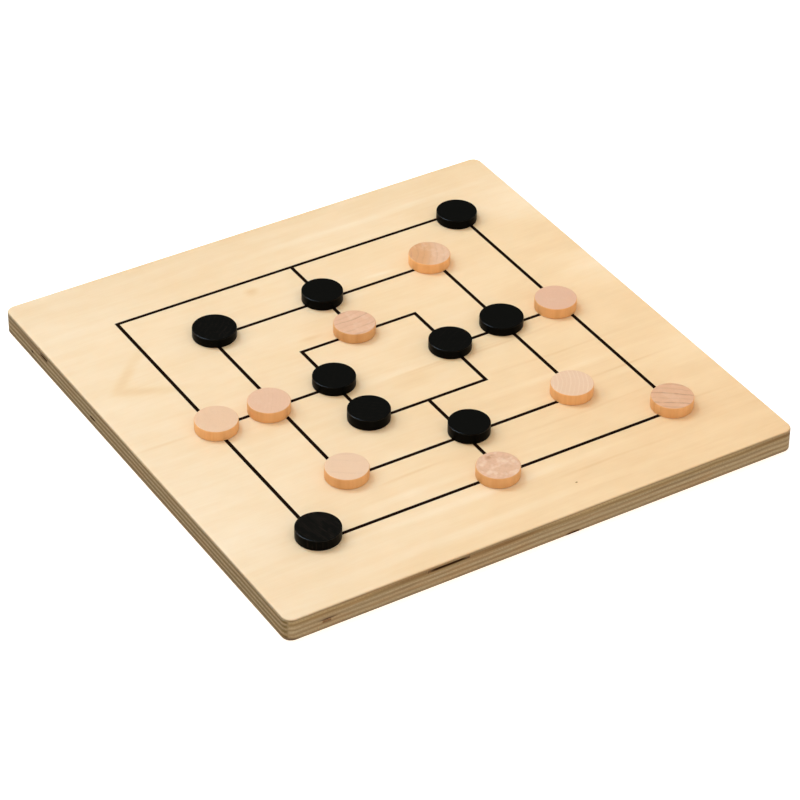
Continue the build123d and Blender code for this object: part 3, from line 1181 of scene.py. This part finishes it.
# %% Natural counters: top
TOP_CREAM = (0.800, 0.560, 0.375)
TOP_PINK = (0.745, 0.460, 0.314)
TOP_TOASTED = (0.700, 0.375, 0.178)
TOP_PALE = (0.930, 0.740, 0.560)
STAIN_BROWN = (0.430, 0.200, 0.095)
RING_BROWN = (0.330, 0.160, 0.090)
STAIN_CENTRE = (38.2, -16.5, 0)     # in the log, in millimetres
STAIN_SIZE = (3.8, 2.6, ANY_HEIGHT)
BLOTCH_SHARE = 0.20     # how far a blotch, a ring and the stain go towards their own colour
RING_SHARE = 0.62
STAIN_SHARE = 0.8

natural_material, tree, shader = new_material("natural_wood_finish", roughness=0.6, shine=0.25)
log_place, growth, wood = slice_values(tree)
pink, toasted, mottled = parts_of(tree, wood)
late = latewood(tree, log_place, growth)
heart_edge = maths(tree, "SUBTRACT", to_pith(tree, log_place), parts_of(tree, growth)[2])
toasted = maths(tree, "MULTIPLY", toasted, eased(tree, heart_edge, -4.0, 4.5, 1.0, 0.25))

top = mix_colours(tree, pink, TOP_CREAM, TOP_PINK)
top = mix_colours(tree, toasted, top, TOP_TOASTED)
blotches = noise(tree, log_place, (0.30, 0.30, 0.1), detail=4.0, roughness=0.65, seed=3.0)
blotchy = maths(tree, "MULTIPLY", eased(tree, blotches, 0.42, 0.72), mottled)
top = mix_colours(tree, maths(tree, "MULTIPLY", blotchy, BLOTCH_SHARE), top, RING_BROWN)
top = mix_colours(tree, maths(tree, "MULTIPLY", late, RING_SHARE), top, RING_BROWN)
top = mix_colours(tree, maths(tree, "MULTIPLY", late, -1.0), top, TOP_PALE)
creamy = noise(tree, log_place, (0.22, 0.22, 0.1), detail=2.0, seed=13.0)
creamy = eased(tree, creamy, 0.5, 0.7, 0.0, 0.45)
top = mix_colours(tree, maths(tree, "MULTIPLY", creamy, mottled), top, TOP_PALE)
stain = marked_share(tree, log_place, STAIN_CENTRE, STAIN_SIZE)
stain = maths(tree, "MULTIPLY", stain, eased(tree, mottled, 0.8, 1.0))
stain = maths(tree, "MULTIPLY", stain, eased(tree, blotches, 0.3, 0.6))
top = mix_colours(tree, maths(tree, "MULTIPLY", stain, STAIN_SHARE), top, STAIN_BROWN)
speckle = noise(tree, log_place, (1.7, 1.7, 1.7), detail=3.0, seed=4.0)
top = tint(tree, top, eased(tree, speckle, 0.3, 0.7, 0.98, 1.02))
print("end grain takes", len(tree.nodes), "nodes")

# %% [markdown]
# ## Bare wood: the side
# The side is a warm tan, deeper than the top. It has fine flecks and broad bands down its
# height, and where a ring comes to the side its line goes on. Side and top read the same place
# in the log, so they meet at the rim, and the flatness of the surface chooses between them.

# %% Natural counters: side
SIDE_TAN = (0.830, 0.450, 0.190)
SIDE_BROWN = (0.640, 0.300, 0.100)
flecks = noise(tree, log_place, (1.1, 1.1, 0.10), detail=2.0, seed=5.0)
bands = noise(tree, log_place, (0.22, 0.22, 0.02), detail=2.0, seed=6.0)
flecks = eased(tree, flecks, 0.4, 0.8, 0.0, 0.16)
side_dark = maths(tree, "ADD", flecks, eased(tree, bands, 0.42, 0.75, 0.0, 0.45))
side_dark = maths(tree, "MULTIPLY_ADD", late, 0.35, side_dark)
side = mix_colours(tree, side_dark, SIDE_TAN, SIDE_BROWN)
# each counter's side tone, partly its wood and partly painted light and shade
side_light_and_tone = place_node(tree, "Attribute", attribute_name=SIDE_TONE_AND_SHADE).outputs["Fac"]
side = tint(tree, side, side_light_and_tone)
on_top = eased(tree, flatness(tree), 0.55, 0.98)
tree.links.new(mix_colours(tree, on_top, side, top), shader.inputs["Base Color"])
add_bump(tree, shader, speckle, 0.25, 0.06)
add_glow(shader)
for disc in natural_discs:
    disc.data.materials.clear()
    disc.data.materials.append(natural_material)
print(natural_material.name, "has", len(tree.nodes), "nodes")

# %% [markdown]
# ## Black stain
# The dye is almost black, and the sawn flats and the side hardly shine. Tumbling has
# burnished the rims, so only they shine, as a thin line of light. Nodes could change the shine
# over one finish, but a shine that is a plain value also survives an export. So there are two
# finishes with the same dye, and the rim's faces get the shiny one. Where a slice's rings are
# strong, the latewood took less dye and shows as short brown strokes.

# %% Black counters
STAIN = (0.0052, 0.0053, 0.0045)
STAIN_THIN = (0.0300, 0.0220, 0.0170)
SIDE_DYE = 0.42             # how bright the dyed side is beside the dyed top
RIM_NORMAL = (0.1, 0.995)   # limits of the upright part of a normal on the rounded rims


def dyed(name, roughness, shine):
    """Black dye on wood, with the shine that this part of the counter has."""
    material, tree, shader = new_material(name, roughness, shine)
    log_place, growth, wood = slice_values(tree)
    mottled = parts_of(tree, wood)[2]
    late = latewood(tree, log_place, growth)
    broken = noise(tree, log_place, (0.50, 0.18, 0.2), detail=2.0, seed=8.0)
    strokes = maths(tree, "MULTIPLY", late, eased(tree, broken, 0.42, 0.56, 0.0, 1.5))
    pores = noise(tree, log_place, (0.7, 1.3, 0.9), detail=4.0, seed=9.0)
    worn = maths(tree, "MULTIPLY", eased(tree, pores, 0.5, 0.8), mottled)
    thin = maths(tree, "ADD", strokes, maths(tree, "MULTIPLY", worn, 0.35))
    dye = mix_colours(tree, thin, STAIN, STAIN_THIN)
    on_top = eased(tree, flatness(tree), 0.93, 0.999, SIDE_DYE, 1.0)
    tree.links.new(tint(tree, dye, on_top), shader.inputs["Base Color"])
    add_bump(tree, shader, pores, 0.2, 0.05)
    return material


black_matt = dyed("black_stain_finish", roughness=0.33, shine=0.022)
black_burnished = dyed("burnished_rim_finish", roughness=0.22, shine=0.36)
for disc in black_discs:
    disc.data.materials.clear()
    disc.data.materials.append(black_matt)
    disc.data.materials.append(black_burnished)
    for face in disc.data.polygons:
        face.material_index = int(RIM_NORMAL[0] < abs(face.normal.z) < RIM_NORMAL[1])
print("rim faces:", sum(face.material_index for face in black_discs[0].data.polygons))
